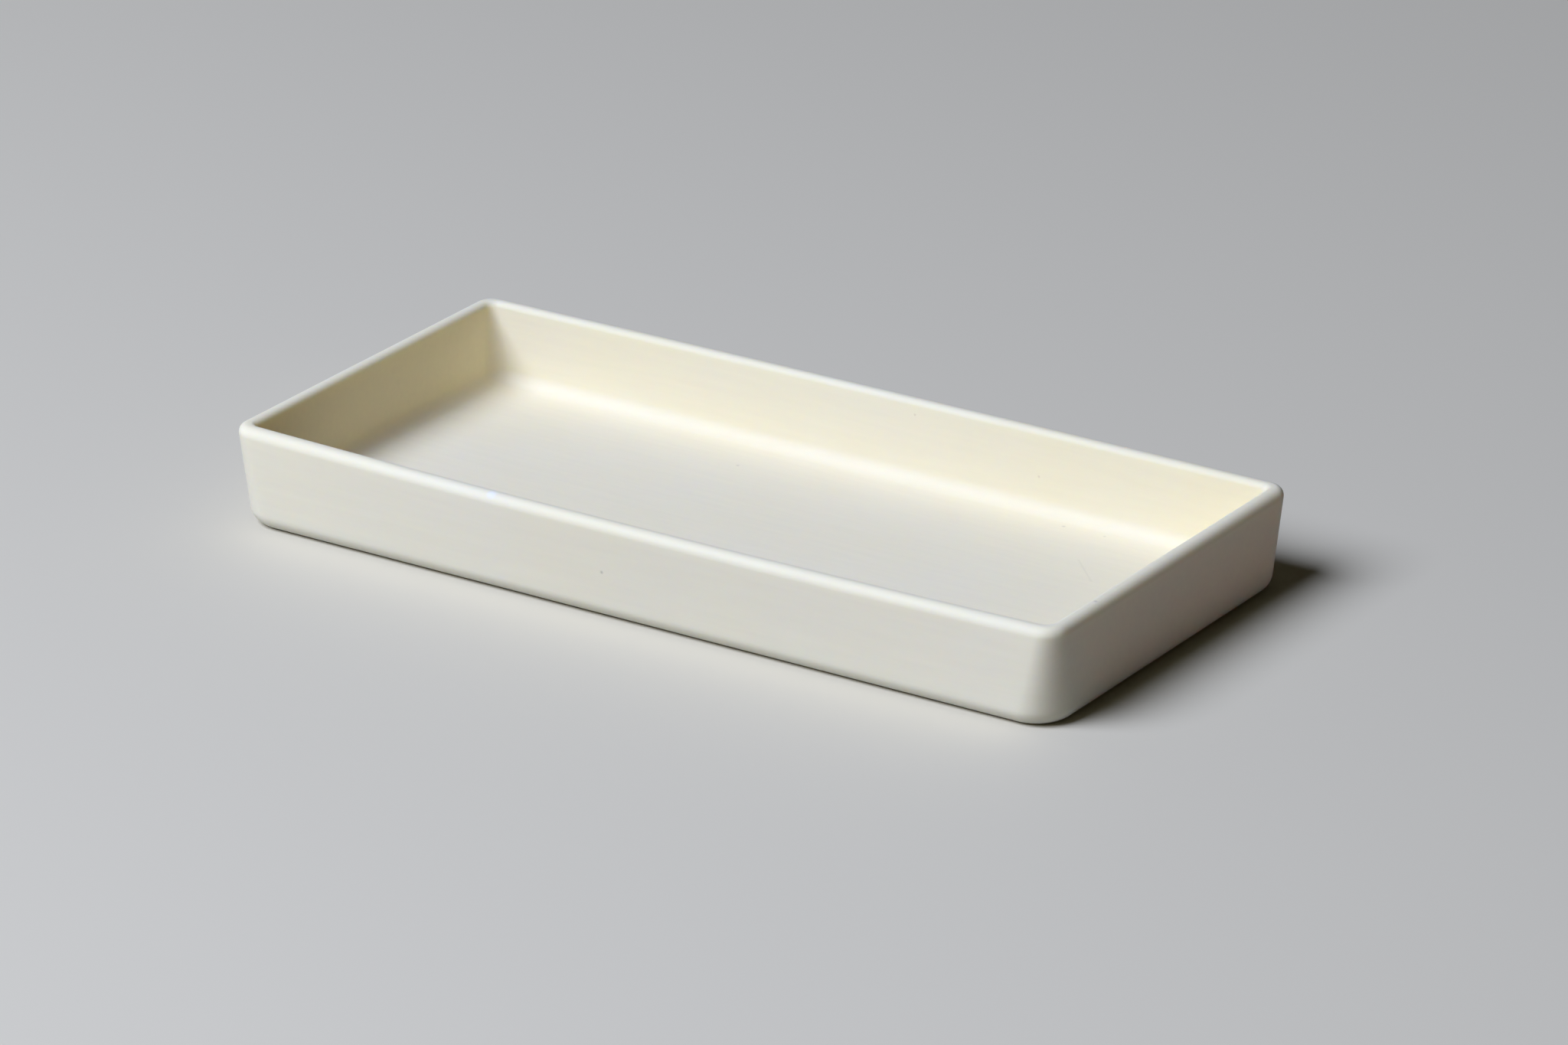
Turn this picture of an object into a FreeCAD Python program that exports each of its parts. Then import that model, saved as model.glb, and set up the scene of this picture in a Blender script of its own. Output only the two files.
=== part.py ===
import FreeCAD, Part
import enum
import math
import os

import Sketcher

# Alumina laboratory tray, cast in one piece and fired, in millimetres.
# The tray stands on its flat foot. The origin is the middle of the foot's underside,
# +X runs along the tray, +Z points up out of the cavity, and -Y is the front long wall.
#
# The foot is a rounded rectangle with straight sides. The walls lean out a little on
# their way up, and the two long walls also bulge as they rise, so that the rim's long
# sides are shallow arcs over a straight foot. The corners are rounder below than at
# the rim, inside and out.

# Driving dimensions: alias, value, what it measures.
SIZES = (
    ("length", 108.0, "rim, outside, between the two short walls"),
    ("width", 49.8, "rim, outside, at the ends of the long walls"),
    ("height", 11.9, "foot to rim"),
    ("front_bulge", 1.15, "how far the front wall's rim stands out at mid length"),
    ("back_bulge", 0.3, "how far the back wall's rim stands out at mid length"),
    ("end_lean", 0.5, "how far a short wall's foot lies inside its rim"),
    ("side_lean", 0.05, "how far a long wall's foot lies inside the ends of its rim"),
    ("wall", 2.0, "wall thickness at the rim"),
    ("low_wall", 2.0, "wall thickness where the wall meets the floor"),
    ("floor_thickness", 2.3, "foot to cavity floor"),
    ("rim_corner", 2.4, "outside corner radius at the rim"),
    ("mouth_corner", 0.9, "inside corner radius at the rim"),
    ("foot_corner", 4.8, "outside corner radius at the foot, before its edge is rounded"),
    ("floor_corner", 2.5, "inside corner radius at the floor, before its edge is rounded"),
    ("foot_round", 1.9, "radius under the walls, from the side down to the foot"),
    ("floor_round", 1.6, "radius inside, from the wall down to the floor"),
    ("rim_outer_round", 1.15, "radius on the rim's outside edge"),
    ("rim_inner_round", 0.7, "radius on the rim's inside edge"),
)

DOCUMENT_NAME = "alumina_tray"
SHEET_NAME = "sizes"
NODE_NAME = "tray"

# A rounding takes at most this share of the corner or the wall that it is worked into.
ROUND_LIMIT = 0.95

# Two heights closer than this are the same plane.
LEVEL_TOLERANCE = 1e-4

# Sides and corners of an outline, counter-clockwise from the front.
SIDE_COUNT = 8
FRONT, FRONT_RIGHT, RIGHT, BACK_RIGHT, BACK, BACK_LEFT, LEFT, FRONT_LEFT = range(SIDE_COUNT)
CORNERS = (FRONT_RIGHT, BACK_RIGHT, BACK_LEFT, FRONT_LEFT)


class Place(enum.IntEnum):
    """The sketcher's own handles for the points of a line or an arc."""

    START = enum.auto()
    END = enum.auto()
    CENTRE = enum.auto()


class Axis(enum.IntEnum):
    """The sketcher's own handles for its two axes. The long one starts at the origin."""

    LONG = -1
    CROSS = -2


def add_sizes(doc):
    """The spreadsheet that drives the tray, one row for each dimension."""
    sheet = doc.addObject("Spreadsheet::Sheet", SHEET_NAME)
    for row, (alias, value, meaning) in enumerate(SIZES, start=1):
        sheet.set("A%d" % row, alias)
        sheet.set("B%d" % row, str(value))
        sheet.set("C%d" % row, meaning)
        sheet.setAlias("B%d" % row, alias)
    doc.recompute()
    return sheet


def arc(centre_x, centre_y, radius, start_degrees, end_degrees):
    """A counter-clockwise arc in the sketch plane."""
    circle = Part.Circle(FreeCAD.Vector(centre_x, centre_y, 0), FreeCAD.Vector(0, 0, 1), radius)
    return Part.ArcOfCircle(circle, math.radians(start_degrees), math.radians(end_degrees))


def line(start, end):
    """A straight line in the sketch plane."""
    return Part.LineSegment(FreeCAD.Vector(*start, 0), FreeCAD.Vector(*end, 0))


class Outline:
    """A closed outline in a level plane: a rectangle with round corners, whose long
    sides are straight, or shallow arcs that bulge outwards.

    Every size is an expression on the sheet. A long side's bulge is None where the
    side is straight.
    """

    def __init__(self, sheet, half_length, half_width, corner, front_bulge=None, back_bulge=None):
        self.sheet = sheet
        self.half_length = half_length
        self.half_width = half_width
        self.corner = corner
        self.bulges = {FRONT: front_bulge, BACK: back_bulge}

    def value(self, expression):
        """What an expression on the sheet comes to now."""
        return float(self.sheet.evalExpression(expression))

    def side_radius(self, bulge):
        """Radius of the arc that stands out by the bulge over the whole length."""
        return "(({0}) ^ 2 + ({1}) ^ 2) / (2 * ({1}))".format(self.half_length, bulge)

    def side_centre(self, bulge):
        """How far that arc's centre lies from the long axis, on the far side of it."""
        return "{0} - ({1}) - ({2})".format(self.side_radius(bulge), self.half_width, bulge)

    def corner_place(self, bulge):
        """Where a corner's centre stands off the long axis, and the angle off the
        cross axis at which the corner hands over to the long side."""
        across = self.value(self.half_length) - self.value(self.corner)
        if bulge is None:
            return self.value(self.half_width) - self.value(self.corner), 0.0
        reach = self.value(self.side_radius(bulge)) - self.value(self.corner)
        turn = math.asin(across / reach)
        return reach * math.cos(turn) - self.value(self.side_centre(bulge)), math.degrees(turn)

    def long_side(self, side, turn):
        """The front or back side, between the ends of its two corners."""
        bulge = self.bulges[side]
        if bulge is None:
            across = self.value(self.half_length) - self.value(self.corner)
            edge = self.value(self.half_width)
            if side == FRONT:
                return line((-across, -edge), (across, -edge))
            return line((across, edge), (-across, edge))
        centre = self.value(self.side_centre(bulge))
        radius = self.value(self.side_radius(bulge))
        if side == FRONT:
            return arc(0, centre, radius, 270 - turn, 270 + turn)
        return arc(0, -centre, radius, 90 - turn, 90 + turn)

    def draw(self, sketch):
        """The eight sides and corners at their places."""
        edge = self.value(self.half_length)
        radius = self.value(self.corner)
        across = edge - radius
        front_y, front_turn = self.corner_place(self.bulges[FRONT])
        back_y, back_turn = self.corner_place(self.bulges[BACK])
        sketch.addGeometry([
            self.long_side(FRONT, front_turn),
            arc(across, -front_y, radius, 270 + front_turn, 360),
            line((edge, -front_y), (edge, back_y)),
            arc(across, back_y, radius, 0, 90 - back_turn),
            self.long_side(BACK, back_turn),
            arc(-across, back_y, radius, 90 + back_turn, 180),
            line((-edge, back_y), (-edge, -front_y)),
            arc(-across, -front_y, radius, 180, 270 - front_turn),
        ], False)

    def bind(self, sketch, name, expression, *constraint):
        """A dimension of the sketch that follows an expression on the sheet."""
        index = sketch.addConstraint(Sketcher.Constraint(*constraint, self.value(expression)))
        sketch.renameConstraint(index, name)
        sketch.setExpression("Constraints." + name, expression)

    def hold(self, sketch):
        """Ties the outline together and to the sheet."""
        for side in range(SIDE_COUNT):
            following = (side + 1) % SIDE_COUNT
            sketch.addConstraint(Sketcher.Constraint("Tangent", side, Place.END, following, Place.START))
        for corner in CORNERS[1:]:
            sketch.addConstraint(Sketcher.Constraint("Equal", CORNERS[0], corner))
        sketch.addConstraint(Sketcher.Constraint("Vertical", RIGHT))
        sketch.addConstraint(Sketcher.Constraint("Vertical", LEFT))
        self.bind(sketch, "corner", self.corner, "Radius", FRONT_RIGHT)
        self.bind(sketch, "right", self.half_length, "DistanceX", Axis.LONG, Place.START, RIGHT, Place.START)
        self.bind(sketch, "left", self.half_length, "DistanceX", LEFT, Place.START, Axis.LONG, Place.START)
        self.hold_long_side(sketch, FRONT, "front", Axis.LONG, Place.START, FRONT, Place.CENTRE)
        self.hold_long_side(sketch, BACK, "back", BACK, Place.CENTRE, Axis.LONG, Place.START)

    def hold_long_side(self, sketch, side, name, *centre_distance):
        """Ties a long side to the sheet: a straight one by its distance from the long
        axis, a bulging one by its radius and by its centre on the cross axis."""
        bulge = self.bulges[side]
        if bulge is None:
            sketch.addConstraint(Sketcher.Constraint("Horizontal", side))
            near, far = (side, Axis.LONG) if side == FRONT else (Axis.LONG, side)
            ends = (near, Place.START, far, Place.START)
            self.bind(sketch, name, self.half_width, "DistanceY", *ends)
            return
        sketch.addConstraint(Sketcher.Constraint("PointOnObject", side, Place.CENTRE, Axis.CROSS))
        self.bind(sketch, name + "_radius", self.side_radius(bulge), "Radius", side)
        self.bind(sketch, name + "_centre", self.side_centre(bulge), "DistanceY", *centre_distance)

    def sketch(self, body, name, level=None):
        """The outline as a sketch of the body, level with the foot or above it."""
        sketch = body.newObject("Sketcher::SketchObject", name)
        plane = next(f for f in body.Origin.OriginFeatures if f.Role == "XY_Plane")
        sketch.AttachmentSupport = [(plane, "")]
        sketch.MapMode = "FlatFace"
        if level is not None:
            sketch.setExpression("AttachmentOffset.Base.z", level)
        self.draw(sketch)
        self.hold(sketch)
        return sketch


def loft(body, kind, name, lower, upper):
    """A straight-sided loft between two level outlines."""
    feature = body.newObject(kind, name)
    feature.Profile = lower
    feature.Sections = [upper]
    feature.Ruled = True
    body.Document.recompute()
    return feature


def level_face(shape, level):
    """The flat face of a shape that lies all in the level plane at a height."""
    for face in shape.Faces:
        box = face.BoundBox
        if abs(box.ZMin - level) < LEVEL_TOLERANCE and abs(box.ZMax - level) < LEVEL_TOLERANCE:
            return face
    raise RuntimeError("no flat face at height %.3f" % level)


def wires_by_length(face):
    """A face's boundary wires, the longest first, so that the outer one leads."""
    return sorted(face.Wires, key=lambda wire: wire.Length, reverse=True)


def edge_names(shape, wire):
    """Names of the edges of a shape that make up a wire on it."""
    return [
        "Edge%d" % number
        for number, edge in enumerate(shape.Edges, start=1)
        if any(edge.isSame(other) for other in wire.Edges)
    ]


def round_wire(body, name, base, wire, radius):
    """Rounds a closed chain of edges by a radius from the sheet."""
    fillet = body.newObject("PartDesign::Fillet", name)
    fillet.Base = (base, edge_names(base.Shape, wire))
    fillet.setExpression("Radius", radius)
    body.Document.recompute()
    return fillet


def limited(radius, room):
    """A rounding's radius, which the room there is for it may cut short."""
    return "min({0}; {1} * {2})".format(radius, ROUND_LIMIT, room)


def rim_round(radius):
    """The radius of one of the rim's two roundings, which share the wall between them."""
    both = "(sizes.rim_outer_round + sizes.rim_inner_round)"
    return limited(radius, "sizes.wall * {0} / {1}".format(radius, both))


def build_tray(doc, sheet):
    """The tray: a leaning, bulging block, hollowed from the rim, with rounded edges."""
    body = doc.addObject("PartDesign::Body", NODE_NAME)
    body.Label = NODE_NAME

    foot = Outline(
        sheet,
        half_length="sizes.length / 2 - sizes.end_lean",
        half_width="sizes.width / 2 - sizes.side_lean",
        corner="sizes.foot_corner",
    ).sketch(body, "foot_outline")
    rim = Outline(
        sheet,
        half_length="sizes.length / 2",
        half_width="sizes.width / 2",
        corner="sizes.rim_corner",
        front_bulge="sizes.front_bulge",
        back_bulge="sizes.back_bulge",
    ).sketch(body, "rim_outline", level="sizes.height")
    block = loft(body, "PartDesign::AdditiveLoft", "block", foot, rim)

    # The cavity's mouth follows the rim's sides and bulges at one wall's thickness.
    mouth = Outline(
        sheet,
        half_length="sizes.length / 2 - sizes.wall",
        half_width="sizes.width / 2 - sizes.wall",
        corner="sizes.mouth_corner",
        front_bulge="sizes.front_bulge",
        back_bulge="sizes.back_bulge",
    ).sketch(body, "mouth_outline", level="sizes.height")
    floor = Outline(
        sheet,
        half_length="sizes.length / 2 - sizes.end_lean - sizes.low_wall",
        half_width="sizes.width / 2 - sizes.side_lean - sizes.low_wall",
        corner="sizes.floor_corner",
    ).sketch(body, "floor_outline", level="sizes.floor_thickness")
    solid_volume = block.Shape.Volume
    cavity = loft(body, "PartDesign::SubtractiveLoft", "cavity", floor, mouth)
    if cavity.Shape.Volume >= solid_volume:
        raise RuntimeError("the cavity cut nothing")

    floor_face = level_face(cavity.Shape, sheet.floor_thickness)
    floor_edge = wires_by_length(floor_face)[0]
    inside = round_wire(
        body, "floor_rounding", cavity, floor_edge, limited("sizes.floor_round", "sizes.floor_corner")
    )
    foot_edge = wires_by_length(level_face(inside.Shape, 0.0))[0]
    outside = round_wire(
        body, "foot_rounding", inside, foot_edge, limited("sizes.foot_round", "sizes.foot_corner")
    )
    outer_edge = wires_by_length(level_face(outside.Shape, sheet.height))[0]
    lip = round_wire(
        body, "rim_outer_rounding", outside, outer_edge, rim_round("sizes.rim_outer_round")
    )
    inner_edge = wires_by_length(level_face(lip.Shape, sheet.height))[-1]
    round_wire(body, "rim_inner_rounding", lip, inner_edge, rim_round("sizes.rim_inner_round"))
    return body


def check(doc, body):
    """Stops the script if any object failed or the tray isn't one sound solid."""
    for item in doc.Objects:
        if "Invalid" in item.State or "Error" in item.State:
            raise RuntimeError("%s failed: %s" % (item.Name, item.State))
    shape = body.Shape
    if shape.isNull() or not shape.isValid() or len(shape.Solids) != 1:
        raise RuntimeError("%s isn't one valid solid" % body.Label)


def main():
    """Builds the tray, checks it and writes it out."""
    doc = FreeCAD.newDocument(DOCUMENT_NAME)
    sheet = add_sizes(doc)
    tray = build_tray(doc, sheet)
    doc.recompute()
    check(doc, tray)
    os.makedirs("parts", exist_ok=True)
    tray.Shape.exportStep("parts/%s.step" % tray.Label)
    box = tray.Shape.BoundBox
    print("%s: %.1f mm3, box x %.2f..%.2f y %.2f..%.2f z %.2f..%.2f, %d faces" % (
        tray.Label, tray.Shape.Volume, box.XMin, box.XMax, box.YMin, box.YMax,
        box.ZMin, box.ZMax, len(tray.Shape.Faces),
    ))


main()
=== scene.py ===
import logging
import math
from dataclasses import dataclass
from enum import Enum
from typing import ClassVar

import bpy
from mathutils import Matrix, Vector


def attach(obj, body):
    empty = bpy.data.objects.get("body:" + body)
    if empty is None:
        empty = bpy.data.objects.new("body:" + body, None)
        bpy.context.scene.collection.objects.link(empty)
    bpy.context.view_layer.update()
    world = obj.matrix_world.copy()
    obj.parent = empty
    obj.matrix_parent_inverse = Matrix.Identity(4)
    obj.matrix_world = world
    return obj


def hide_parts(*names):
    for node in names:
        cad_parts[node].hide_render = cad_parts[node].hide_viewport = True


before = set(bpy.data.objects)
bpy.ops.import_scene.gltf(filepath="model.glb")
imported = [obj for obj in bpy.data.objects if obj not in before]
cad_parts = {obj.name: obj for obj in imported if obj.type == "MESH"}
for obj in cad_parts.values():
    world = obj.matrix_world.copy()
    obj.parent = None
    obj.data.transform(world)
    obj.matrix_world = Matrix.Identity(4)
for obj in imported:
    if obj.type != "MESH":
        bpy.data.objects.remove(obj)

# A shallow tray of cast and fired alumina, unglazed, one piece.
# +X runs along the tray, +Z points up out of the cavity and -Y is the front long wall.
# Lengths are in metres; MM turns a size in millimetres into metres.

LOG = logging.getLogger("alumina_tray")

MM = 0.001
QUARTER_TURN = math.pi / 2
TRAY_NODE = "tray"
TRAY_BODY = "root"

Colour = tuple[float, float, float, float]
Place = tuple[float, float, float]


class Flow:
    """A value on its way through a node tree, which plain arithmetic carries on."""

    def __init__(self, tree: bpy.types.NodeTree, socket: bpy.types.NodeSocket) -> None:
        """Keeps the tree and the output socket that the value leaves by."""
        self.tree = tree
        self.socket = socket

    def through(self, operation: str, *others: "Flow | float") -> "Flow":
        """Passes the value through one math node.

        Args:
            operation: the math node's operation.
            others: the operation's further operands.

        Returns:
            The node's result.
        """
        node = self.tree.nodes.new("ShaderNodeMath")
        node.operation = operation
        for socket, value in zip(node.inputs, (self, *others)):
            feed(self.tree, socket, value)
        return Flow(self.tree, node.outputs[0])

    def __add__(self, other: "Flow | float") -> "Flow":
        """The sum."""
        return self.through("ADD", other)

    def __sub__(self, other: "Flow | float") -> "Flow":
        """The difference."""
        return self.through("SUBTRACT", other)

    def __rsub__(self, other: float) -> "Flow":
        """A plain number less this value."""
        return -self + other

    def __mul__(self, other: "Flow | float") -> "Flow":
        """The product."""
        return self.through("MULTIPLY", other)

    def __truediv__(self, other: "Flow | float") -> "Flow":
        """The quotient."""
        return self.through("DIVIDE", other)

    def __neg__(self) -> "Flow":
        """The value with its sign turned."""
        return self.through("MULTIPLY", -1.0)

    __radd__ = __add__
    __rmul__ = __mul__

    def clamped(self) -> "Flow":
        """The value, held between nought and one."""
        return self.through("MINIMUM", 1.0).through("MAXIMUM", 0.0)

    def eased(self) -> "Flow":
        """A share from nought to one that starts and stops gently: 3x^2 - 2x^3."""
        return self * self * (3.0 - 2.0 * self)

    def toward(self, other: "Flow | float", share: "Flow | float") -> "Flow":
        """This value at share nought, the other at share one, in proportion between."""
        return self + (other - self) * share


def feed(tree: bpy.types.NodeTree, socket: bpy.types.NodeSocket, value: object) -> None:
    """Links a flow to an input socket, or writes a plain value into it.

    Args:
        tree: the tree that holds the socket.
        socket: the input.
        value: a Flow, or a value that the socket itself takes.
    """
    if isinstance(value, Flow):
        tree.links.new(value.socket, socket)
    else:
        socket.default_value = value


class Board:
    """A node tree under construction."""

    def __init__(self, tree: bpy.types.NodeTree) -> None:
        """Keeps the tree that the nodes go into."""
        self.tree = tree

    def node(
        self, kind: str, inputs: dict[str, object] | None = None, **settings: object
    ) -> bpy.types.Node:
        """Adds a node.

        Args:
            kind: the node's type.
            inputs: input sockets by name, each with a Flow or a plain value.
            settings: the node's own properties.

        Returns:
            The new node.
        """
        node = self.tree.nodes.new(kind)
        for name, value in settings.items():
            setattr(node, name, value)
        for name, value in (inputs or {}).items():
            feed(self.tree, node.inputs[name], value)
        return node

    def flow(self, kind: str, inputs: dict[str, object] | None = None, **settings: object) -> Flow:
        """Adds a node and gives its first output as a Flow."""
        return Flow(self.tree, self.node(kind, inputs, **settings).outputs[0])

    def constant(self, value: float) -> Flow:
        """A plain number as a Flow."""
        node = self.node("ShaderNodeValue")
        node.outputs[0].default_value = value
        return Flow(self.tree, node.outputs[0])

    def parts(self, vector: Flow) -> tuple[Flow, Flow, Flow]:
        """A vector's three parts."""
        node = self.node("ShaderNodeSeparateXYZ", {"Vector": vector})
        return tuple(Flow(self.tree, socket) for socket in node.outputs)

    def vector(self, x: object, y: object, z: object) -> Flow:
        """Three numbers as one vector."""
        return self.flow("ShaderNodeCombineXYZ", {"X": x, "Y": y, "Z": z})

    def mixed(self, operation: str, one: object, other: object, output: str = "Vector") -> Flow:
        """Two vectors through one vector math node."""
        node = self.node("ShaderNodeVectorMath", operation=operation)
        feed(self.tree, node.inputs[0], one)
        feed(self.tree, node.inputs[1], other)
        return Flow(self.tree, node.outputs[output])

    def scaled(self, vector: object, factor: Flow) -> Flow:
        """A vector or a colour, times a number."""
        inputs = {"Vector": vector, "Scale": factor}
        return self.flow("ShaderNodeVectorMath", inputs, operation="SCALE")

    def blend(self, one: object, other: object, share: Flow) -> Flow:
        """The colour on the way from one to the other."""
        node = self.node("ShaderNodeMix", {"Factor": share}, data_type="RGBA")
        first, last = [socket for socket in node.inputs if socket.type == "RGBA"]
        feed(self.tree, first, one)
        feed(self.tree, last, other)
        return Flow(self.tree, next(socket for socket in node.outputs if socket.type == "RGBA"))

    def noise(self, place: Flow, grain: float, detail: float = 2.0, roughness: float = 0.5) -> Flow:
        """A smooth random pattern from nought to one.

        Args:
            place: where the pattern is read.
            grain: how wide its patches are, in metres.
            detail: how many finer layers lie on it.
            roughness: how strong the finer layers are.

        Returns:
            The pattern's value at the place.
        """
        inputs = {"Vector": place, "Scale": 1.0 / grain, "Detail": detail, "Roughness": roughness}
        return self.flow("ShaderNodeTexNoise", inputs)


class Skin(Enum):
    """Which skin of the tray a sheet is. The value is the way that its lip turns: the
    outside bends in towards the tray's middle at the rim, the inside bends outwards."""

    OUTSIDE = -1.0
    INSIDE = 1.0


@dataclass(frozen=True)
class Outline:
    """A level, round-cornered outline of the tray, as values in its tree."""

    half_length: Flow
    half_width: Flow
    corner: Flow
    level: Flow

    def moved(self, offset: Flow) -> "Outline":
        """The outline, set outwards by an offset all round."""
        return Outline(
            self.half_length + offset, self.half_width + offset, self.corner + offset, self.level
        )

    def between(self, other: "Outline", share: "Flow | float") -> "Outline":
        """The outline on the straight way from this one to another.

        Args:
            other: the outline at the far end.
            share: how far along, from nought to one.

        Returns:
            The outline there.
        """
        return Outline(
            self.half_length.toward(other.half_length, share),
            self.half_width.toward(other.half_width, share),
            self.corner.toward(other.corner, share),
            self.level.toward(other.level, share),
        )


@dataclass(frozen=True)
class Walk:
    """How many steps the mesh takes over each stretch of the tray's section and round."""

    strip: int = 3
    low_bend: int = 14
    climb: int = 16
    lip: int = 12
    land: int = 1
    side: int = 84
    corner: int = 20

    @property
    def rows(self) -> int:
        """Steps from the middle plate to the middle of the rim."""
        return self.strip + self.low_bend + self.climb + self.lip + self.land

    @property
    def columns(self) -> int:
        """Steps once round the tray."""
        return 4 * (self.side + self.corner)


@dataclass
class TrayShell:
    """The tray's body: a straight-sided foot, walls that bulge on their way up, a
    cavity one wall's thickness inside them, and a round wherever two faces meet."""

    length: float = 108.0 * MM
    width: float = 49.8 * MM
    height: float = 11.9 * MM
    front_bulge: float = 1.15 * MM
    back_bulge: float = 0.3 * MM
    end_lean: float = 0.5 * MM
    side_lean: float = 0.05 * MM
    wall: float = 2.0 * MM
    floor_thickness: float = 2.3 * MM
    rim_corner: float = 2.4 * MM
    mouth_corner: float = 0.9 * MM
    foot_corner: float = 4.8 * MM
    floor_corner: float = 2.5 * MM
    foot_round: float = 1.9 * MM
    floor_round: float = 1.6 * MM
    rim_outer_round: float = 1.15 * MM
    rim_inner_round: float = 0.7 * MM
    unevenness: float = 0.05 * MM
    swell: float = 14.0 * MM
    swell_detail: float = 1.5
    weld: float = 0.002 * MM
    walk: Walk = Walk()

    INPUTS: ClassVar[tuple[str, ...]] = (
        "length", "width", "height", "front_bulge", "back_bulge", "end_lean", "side_lean",
        "wall", "floor_thickness", "rim_corner", "mouth_corner", "foot_corner", "floor_corner",
        "foot_round", "floor_round", "rim_outer_round", "rim_inner_round", "unevenness",
    )

    def tree(self, material: bpy.types.Material) -> bpy.types.NodeTree:
        """The geometry tree that makes the tray from its sizes.

        Args:
            material: the finish that the tree sets on the mesh.

        Returns:
            The tree, with one named input for each size.
        """
        tree = bpy.data.node_groups.new("tray_body", "GeometryNodeTree")
        board = Board(tree)
        for name in self.INPUTS:
            tree.interface.new_socket(name, in_out="INPUT", socket_type="NodeSocketFloat")
        tree.interface.new_socket("Geometry", in_out="OUTPUT", socket_type="NodeSocketGeometry")
        entry = board.node("NodeGroupInput")
        size = {name: Flow(tree, entry.outputs[name]) for name in self.INPUTS}

        rim = Outline(size["length"] * 0.5, size["width"] * 0.5, size["rim_corner"], size["height"])
        foot = Outline(
            rim.half_length - size["end_lean"], rim.half_width - size["side_lean"],
            size["foot_corner"], board.constant(0.0),
        )
        mouth = Outline(
            rim.half_length - size["wall"], rim.half_width - size["wall"],
            size["mouth_corner"], size["height"],
        )
        floor = Outline(
            foot.half_length - size["wall"], foot.half_width - size["wall"],
            size["floor_corner"], size["floor_thickness"],
        )
        outer_edge = rim.moved(-size["rim_outer_round"])
        inner_edge = mouth.moved(size["rim_inner_round"])
        seam = outer_edge.between(inner_edge, 0.5)
        pieces = (
            self.sheet(board, Skin.OUTSIDE, foot, rim, seam, size),
            self.turned(board, self.sheet(board, Skin.INSIDE, floor, mouth, seam, size)),
            self.turned(board, self.plate(board, foot)),
            self.plate(board, floor),
        )
        joined = board.node("GeometryNodeJoinGeometry")
        for piece in pieces:
            tree.links.new(piece.socket, joined.inputs[0])
        whole = board.flow(
            "GeometryNodeMergeByDistance",
            {"Geometry": Flow(tree, joined.outputs[0]), "Distance": self.weld},
        )
        cast = self.uneven(board, whole, size["unevenness"])
        smooth = board.flow("GeometryNodeSetShadeSmooth", {"Geometry": cast})
        real = board.flow("GeometryNodeRealizeInstances", {"Geometry": smooth})
        dressed = board.flow("GeometryNodeSetMaterial", {"Geometry": real, "Material": material})
        leave = board.node("NodeGroupOutput")
        tree.links.new(dressed.socket, leave.inputs[0])
        return tree

    def turned(self, board: Board, mesh: Flow) -> Flow:
        """A mesh with its faces turned over."""
        return board.flow("GeometryNodeFlipFaces", {"Mesh": mesh})

    def grid(self, board: Board, steps_x: int, steps_y: int) -> tuple[Flow, Flow, Flow]:
        """A flat grid to be bent into shape.

        Args:
            board: the tree under construction.
            steps_x: steps along the grid's first way.
            steps_y: steps along its second.

        Returns:
            The grid's mesh, and each point's whole step number along the two ways.
        """
        mesh = board.flow("GeometryNodeMeshGrid", {
            "Size X": 1.0, "Size Y": 1.0, "Vertices X": steps_x + 1, "Vertices Y": steps_y + 1,
        })
        x, y, _ = board.parts(board.flow("GeometryNodeInputPosition"))
        column = ((x + 0.5) * float(steps_x)).through("ROUND")
        row = ((y + 0.5) * float(steps_y)).through("ROUND")
        return mesh, column, row

    def plate(self, board: Board, outline: Outline) -> Flow:
        """The flat rectangle between the corner centres of an outline.

        Args:
            board: the tree under construction.
            outline: the outline that it lies inside.

        Returns:
            The plate's mesh, facing up.
        """
        steps = self.walk.side
        mesh, column, row = self.grid(board, steps, steps)
        across = self.spaced(column / float(steps)) * 2.0 - 1.0
        along = self.spaced(row / float(steps)) * 2.0 - 1.0
        x = across * (outline.half_length - outline.corner)
        y = along * (outline.half_width - outline.corner)
        place = board.vector(x, y, outline.level)
        return board.flow("GeometryNodeSetPosition", {"Geometry": mesh, "Position": place})

    def spaced(self, share: Flow) -> Flow:
        """Where along a side a step falls: closer together near the corners."""
        return (share + share.eased()) * 0.5

    def sheet(
        self, board: Board, skin: Skin, low: Outline, high: Outline, seam: Outline,
        size: dict[str, Flow],
    ) -> Flow:
        """One skin of the tray, from its middle plate out, up the wall and over the rim.

        A point is found from a corner centre of the outline at its height, in the
        direction that the wall faces, and the walls' bulge is added to it.

        Args:
            board: the tree under construction.
            skin: the outside or the inside.
            low: the outline at the foot of the wall, before its edge is rounded.
            high: the outline at the rim.
            seam: the line along the rim's flat top on which the two skins meet.
            size: the tray's sizes.

        Returns:
            The skin's mesh.
        """
        walk = self.walk
        low_round = size["foot_round"] if skin is Skin.OUTSIDE else size["floor_round"]
        lip_round = size["rim_outer_round"] if skin is Skin.OUTSIDE else size["rim_inner_round"]
        mesh, column, row = self.grid(board, walk.columns, walk.rows)

        quarter = (column / float(walk.side + walk.corner)).through("FLOOR")
        step = column - quarter * float(walk.side + walk.corner)
        run = self.spaced((step / float(walk.side)).clamped()) * 2.0 - 1.0
        turn = ((step - float(walk.side)) / float(walk.corner)).clamped()
        heading = (quarter + turn - 1.0) * QUARTER_TURN
        face_x, face_y = heading.through("COSINE"), heading.through("SINE")
        side = quarter * QUARTER_TURN
        side_x, side_y = side.through("COSINE"), side.through("SINE")
        reach_x = run * side_x + side_y
        reach_y = run * side_y - side_x

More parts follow.
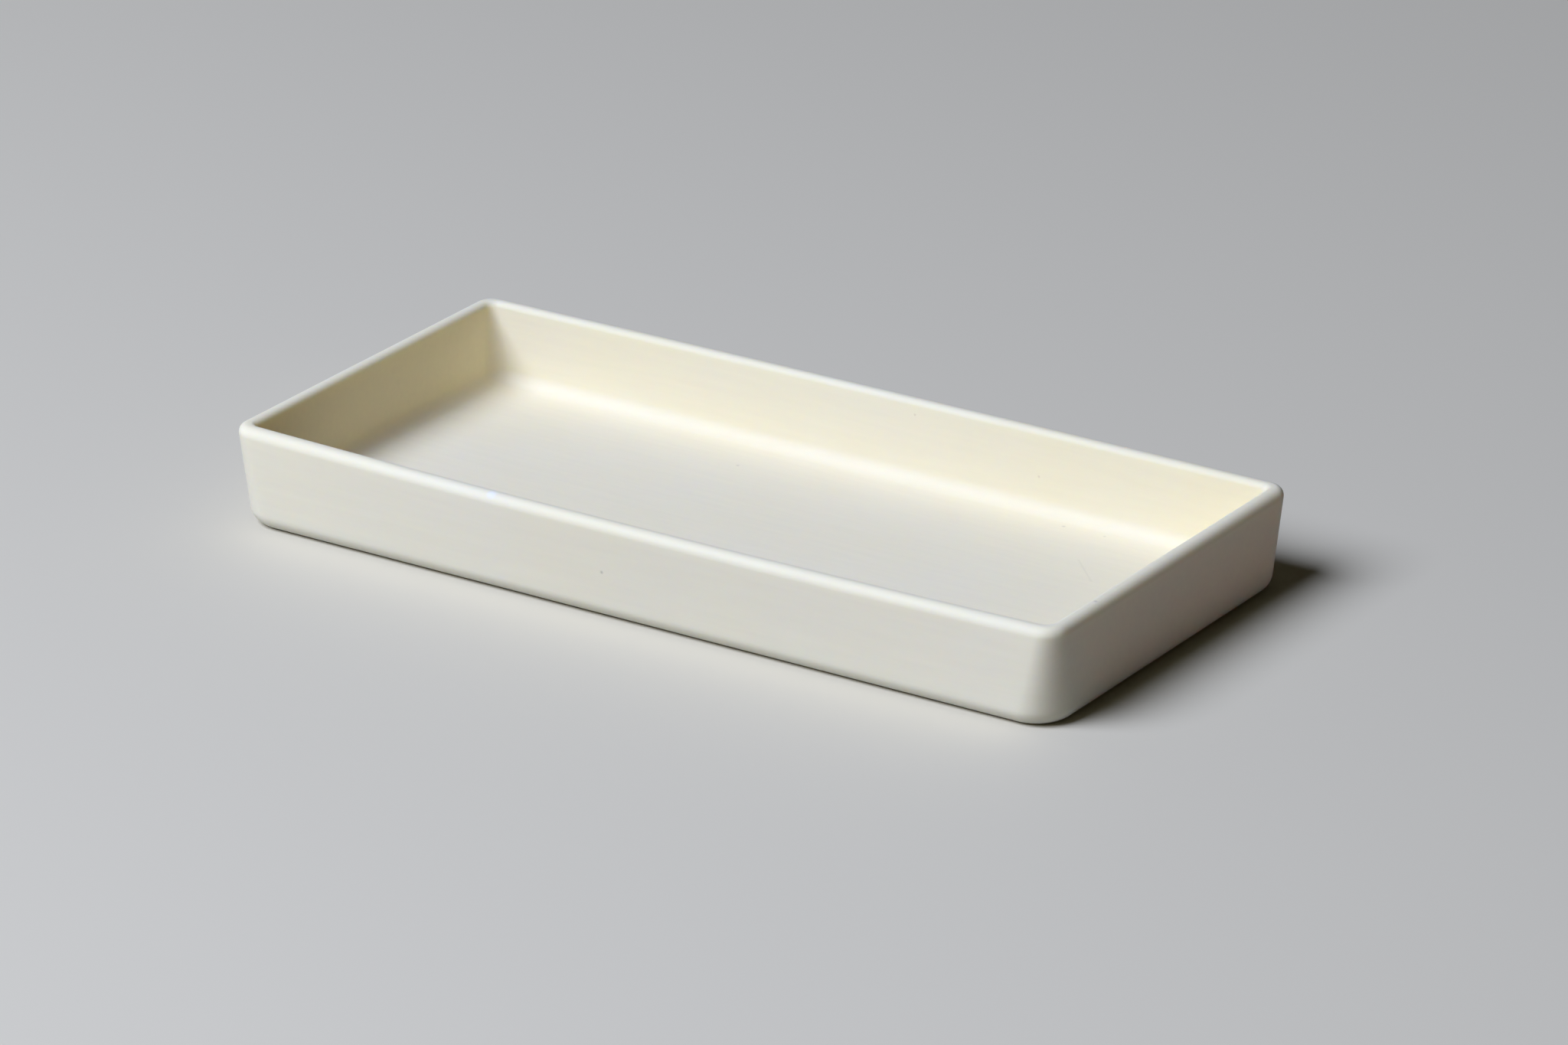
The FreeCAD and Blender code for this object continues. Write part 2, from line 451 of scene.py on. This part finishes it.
        stretches = []
        first = 0
        for steps in (walk.strip, walk.low_bend, walk.climb, walk.lip, walk.land):
            stretches.append(((row - float(first)) / float(steps)).clamped())
            first += steps
        strip, low_bend, climb, lip, flat = stretches
        low_angle, lip_angle = low_bend * QUARTER_TURN, lip * QUARTER_TURN
        out = (
            (-low.corner).toward(-low_round, strip.eased())
            + low_round * low_angle.through("SINE")
            + skin.value * (lip_round * (1.0 - lip_angle.through("COSINE")))
        )
        rise = (
            low_round * (1.0 - low_angle.through("COSINE"))
            + (high.level - low.level - low_round - lip_round) * climb.eased()
            + lip_round * lip_angle.through("SINE")
        )

        share = rise / (high.level - low.level)
        here = low.between(high, share)
        x = reach_x * (here.half_length - here.corner) + (here.corner + out) * face_x
        y = reach_y * (here.half_width - here.corner) + (here.corner + out) * face_y
        seam_x = reach_x * (seam.half_length - seam.corner) + seam.corner * face_x
        seam_y = reach_y * (seam.half_width - seam.corner) + seam.corner * face_y
        x, y = x.toward(seam_x, flat), y.toward(seam_y, flat)
        crown = x / (size["length"] * 0.5)
        bulge = (
            size["front_bulge"] * reach_y.through("MINIMUM", 0.0)
            + size["back_bulge"] * reach_y.through("MAXIMUM", 0.0)
        ) * share * (1.0 - crown * crown)
        place = board.vector(x, y + bulge, low.level + rise)
        return board.flow("GeometryNodeSetPosition", {"Geometry": mesh, "Position": place})

    def uneven(self, board: Board, mesh: Flow, depth: Flow) -> Flow:
        """The slight unevenness of a cast surface, only ever into the body.

        Args:
            board: the tree under construction.
            mesh: the true shape.
            depth: how deep the hollows may be.

        Returns:
            The shape as cast.
        """
        place = board.flow("GeometryNodeInputPosition")
        swell = board.noise(place, self.swell, detail=self.swell_detail)
        normal = board.flow("GeometryNodeInputNormal")
        push = board.scaled(normal, -(swell * depth))
        return board.flow("GeometryNodeSetPosition", {"Geometry": mesh, "Offset": push})

    def build(self, material: bpy.types.Material) -> bpy.types.Object:
        """Makes the tray as a plain mesh that stands for its node.

        Args:
            material: the finish.

        Returns:
            The finished piece.
        """
        tree = self.tree(material)
        blank = bpy.data.objects.new("tray_blank", bpy.data.meshes.new("tray_blank"))
        bpy.context.collection.objects.link(blank)
        modifier = blank.modifiers.new("tray_body", "NODES")
        modifier.node_group = tree
        for item in tree.interface.items_tree:
            if item.in_out == "INPUT":
                modifier[item.identifier] = getattr(self, item.name)
        bpy.context.view_layer.update()
        ready = blank.evaluated_get(bpy.context.evaluated_depsgraph_get())
        mesh = bpy.data.meshes.new_from_object(ready)
        bpy.data.objects.remove(blank)
        mesh.name = "tray_body"
        piece = bpy.data.objects.new("tray_body", mesh)
        bpy.context.collection.objects.link(piece)
        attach(piece, TRAY_BODY)
        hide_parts(TRAY_NODE)
        return piece


@dataclass(frozen=True)
class Mark:
    """A speck, a scratch or a painted glint: a soft-edged spot round the straight line
    between two places on the surface, which are the same place for a speck or a glint."""

    start: Place
    end: Place
    radius: float
    tone: Colour
    strength: float

    def share(self, board: Board, place: Flow) -> Flow:
        """How much of the mark's tone shows at a place.

        Args:
            board: the tree under construction.
            place: where the pattern is read.

        Returns:
            The share, from nought away from the mark to its strength on it.
        """
        way = Vector(self.end) - Vector(self.start)
        offset = board.mixed("SUBTRACT", place, self.start)
        along = board.mixed("DOT_PRODUCT", offset, tuple(way.normalized()), output="Value")
        along = along.through("MINIMUM", way.length).through("MAXIMUM", 0.0)
        nearest = board.scaled(tuple(way.normalized()), along)
        apart = board.mixed("DISTANCE", offset, nearest, output="Value")
        return (1.0 - apart / self.radius).clamped().eased() * self.strength


def speck_or_glint(x: float, y: float, z: float, radius: float, strength: float, tone: Colour) -> Mark:
    """A round mark, a speck or a painted glint, its place and radius in millimetres."""
    place = (x * MM, y * MM, z * MM)
    return Mark(place, place, radius * MM, tone, strength)


DIRT = (0.2, 0.15, 0.09, 1.0)
RUST = (0.42, 0.22, 0.1, 1.0)
# PAINTED_GLINT is a painted highlight: a bluish-white glint laid into the colour.
PAINTED_GLINT = (0.86, 0.9, 0.95, 1.0)


@dataclass(frozen=True)
class Alumina:
    """Fired alumina without a glaze: a warm white, faintly mottled, matte to satin."""

    tone: Colour = (0.912, 0.812, 0.505, 1.0)
    cool_tone: Colour = (0.89, 0.812, 0.565, 1.0)
    patch: float = 16.0 * MM
    patch_detail: float = 3.0
    streak: float = 0.8 * MM
    streak_stretch: float = 12.0
    streak_depth: float = 0.05
    grain: float = 0.18 * MM
    grain_depth: float = 0.004 * MM
    peel: float = 1.3 * MM
    peel_depth: float = 0.01 * MM
    roughness: float = 0.7
    roughness_play: float = 0.06
    refraction: float = 1.45
    depth_share: float = 0.5
    depth_colours: tuple[float, float, float] = (1.0, 0.75, 0.35)
    depth: float = 2.0 * MM
    marks: tuple[Mark, ...] = (
        speck_or_glint(-3.3, -25.4, 5.9, 0.3, 0.4, DIRT),
        speck_or_glint(6.1, 23.1, 10.2, 0.25, 0.3, RUST),
        speck_or_glint(22.6, 23.0, 6.4, 0.25, 0.25, RUST),
        speck_or_glint(27.3, 20.7, 2.3, 0.35, 0.25, DIRT),
        speck_or_glint(32.6, 20.7, 2.3, 0.3, 0.2, DIRT),
        speck_or_glint(-13.0, 15.9, 2.3, 0.3, 0.25, DIRT),
        speck_or_glint(52.9, -15.1, 11.9, 0.35, 0.35, DIRT),
        # A painted highlight: a small bluish-white glint on the top of the front rim.
        speck_or_glint(-17.9, -25.2, 11.8, 0.9, 0.5, PAINTED_GLINT),
        Mark(
            start=(33.7 * MM, 13.3 * MM, 2.3 * MM), end=(38.0 * MM, 8.9 * MM, 2.3 * MM),
            radius=0.22 * MM, tone=DIRT, strength=0.07,
        ),
    )

    def material(self) -> bpy.types.Material:
        """The finish as a node material.

        Returns:
            The material, patterned by the object's own coordinates.
        """
        material = bpy.data.materials.new("fired_alumina")
        material.use_nodes = True
        tree = material.node_tree
        tree.nodes.clear()
        board = Board(tree)
        coordinates = board.node("ShaderNodeTexCoord")
        place = Flow(tree, coordinates.outputs["Object"])
        patches = board.noise(place, self.patch, detail=self.patch_detail)
        colour = board.blend(self.tone, self.cool_tone, patches)
        streaks = board.noise(
            board.mixed("MULTIPLY", place, (1.0 / self.streak_stretch, 1.0, 1.0)), self.streak
        )
        colour = board.scaled(colour, 1.0 - self.streak_depth * streaks)
        for mark in self.marks:
            colour = board.blend(colour, mark.tone, mark.share(board, place))
        grain = board.noise(place, self.grain)
        peel = board.noise(place, self.peel)
        height = grain * (self.grain_depth / MM) + peel * (self.peel_depth / MM)
        bump = board.flow("ShaderNodeBump", {"Height": height, "Strength": 1.0, "Distance": MM})
        rough = self.roughness + (peel - 0.5) * (2.0 * self.roughness_play)
        shader = board.node("ShaderNodeBsdfPrincipled", {
            "Base Color": colour,
            "Roughness": rough,
            "Normal": bump,
            "IOR": self.refraction,
            "Subsurface Weight": self.depth_share,
            "Subsurface Radius": self.depth_colours,
            "Subsurface Scale": self.depth,
        })
        output = board.node("ShaderNodeOutputMaterial")
        tree.links.new(shader.outputs[0], output.inputs["Surface"])
        return material


@dataclass(frozen=True)
class Viewpoint:
    """The photographer's place, as an orbit round a point of the tray."""

    azimuth: float = 33.2521
    elevation: float = 22.3975
    roll: float = -0.0218
    target: Place = (5.5563 * MM, -2.8517 * MM, 5.95 * MM)
    distance: float = 861.51 * MM
    focal_pixels: float = 10221.95
    image_width: float = 2048.0
    sensor: float = 36.0

    def place(self) -> bpy.types.Object:
        """Sets up the camera and makes it the scene's.

        Returns:
            The camera.
        """
        azimuth, elevation = math.radians(self.azimuth), math.radians(self.elevation)
        back = Vector((
            math.sin(azimuth) * math.cos(elevation),
            -math.cos(azimuth) * math.cos(elevation),
            math.sin(elevation),
        ))
        right = Vector((0.0, 0.0, 1.0)).cross(back).normalized()
        pose = Matrix((right, back.cross(right), back)).transposed()
        pose = pose @ Matrix.Rotation(math.radians(self.roll), 3, "Z")
        data = bpy.data.cameras.new("camera")
        data.sensor_width = self.sensor
        data.lens = self.focal_pixels / self.image_width * self.sensor
        camera = bpy.data.objects.new("camera", data)
        bpy.context.collection.objects.link(camera)
        location = Vector(self.target) + back * self.distance
        camera.matrix_world = Matrix.Translation(location) @ pose.to_4x4()
        bpy.context.scene.camera = camera
        return camera


@dataclass(frozen=True)
class Studio:
    """A pale table top, one large soft lamp at the front left and a dim warm room."""

    key_direction: Place = (-0.33, -0.70, 0.86)
    key_distance: float = 1.2
    key_size: float = 0.8
    key_power: float = 17.0
    key_colour: tuple[float, float, float] = (0.88, 0.98, 1.43)
    room_colour: Colour = (1.0, 0.92, 0.75, 1.0)
    room_strength: float = 0.02
    floor_half: float = 4.0
    floor_shown: Colour = (0.70, 0.64, 0.45, 1.0)
    floor_bounced: Colour = (0.40, 0.40, 0.37, 1.0)
    floor_roughness: float = 0.7

    def light(self) -> None:
        """Sets up the lamp and the room's own light."""
        lamp = bpy.data.lights.new("key", "AREA")
        lamp.shape = "DISK"
        lamp.size = self.key_size
        lamp.energy = self.key_power
        lamp.color = self.key_colour
        holder = bpy.data.objects.new("key", lamp)
        bpy.context.collection.objects.link(holder)
        direction = Vector(self.key_direction).normalized()
        holder.location = direction * self.key_distance
        holder.rotation_euler = direction.to_track_quat("Z", "Y").to_euler()

        world = bpy.data.worlds.new("room")
        world.use_nodes = True
        room = world.node_tree.nodes["Background"]
        room.inputs["Color"].default_value = self.room_colour
        room.inputs["Strength"].default_value = self.room_strength
        bpy.context.scene.world = world

    def floor(self) -> bpy.types.Object:
        """The table top, pale to the eye and dimmer in the light that it throws back.

        Returns:
            The floor.
        """
        half = self.floor_half
        corners = [(-half, -half, 0.0), (half, -half, 0.0), (half, half, 0.0), (-half, half, 0.0)]
        mesh = bpy.data.meshes.new("table_top")
        mesh.from_pydata(corners, [], [(0, 1, 2, 3)])
        floor = bpy.data.objects.new("table_top", mesh)
        bpy.context.collection.objects.link(floor)

        material = bpy.data.materials.new("table_top")
        material.use_nodes = True
        tree = material.node_tree
        tree.nodes.clear()
        board = Board(tree)
        path = board.node("ShaderNodeLightPath")
        seen = Flow(tree, path.outputs["Is Camera Ray"])
        for name in ("Is Glossy Ray", "Is Transmission Ray"):
            seen = seen.through("MAXIMUM", Flow(tree, path.outputs[name]))
        colour = board.blend(self.floor_bounced, self.floor_shown, seen)
        shader = board.node("ShaderNodeBsdfPrincipled", {
            "Base Color": colour, "Roughness": self.floor_roughness,
        })
        output = board.node("ShaderNodeOutputMaterial")
        tree.links.new(shader.outputs[0], output.inputs["Surface"])
        mesh.materials.append(material)
        return floor


def main() -> None:
    """Builds the tray and its setting."""
    logging.basicConfig(level=logging.INFO, format="%(name)s: %(message)s")
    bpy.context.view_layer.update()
    bpy.context.scene.view_settings.view_transform = "Standard"
    Viewpoint().place()
    studio = Studio()
    studio.light()
    studio.floor()
    tray = TrayShell().build(Alumina().material())
    LOG.info("%s: %d faces", tray.name, len(tray.data.polygons))


if __name__ == "__main__":
    main()
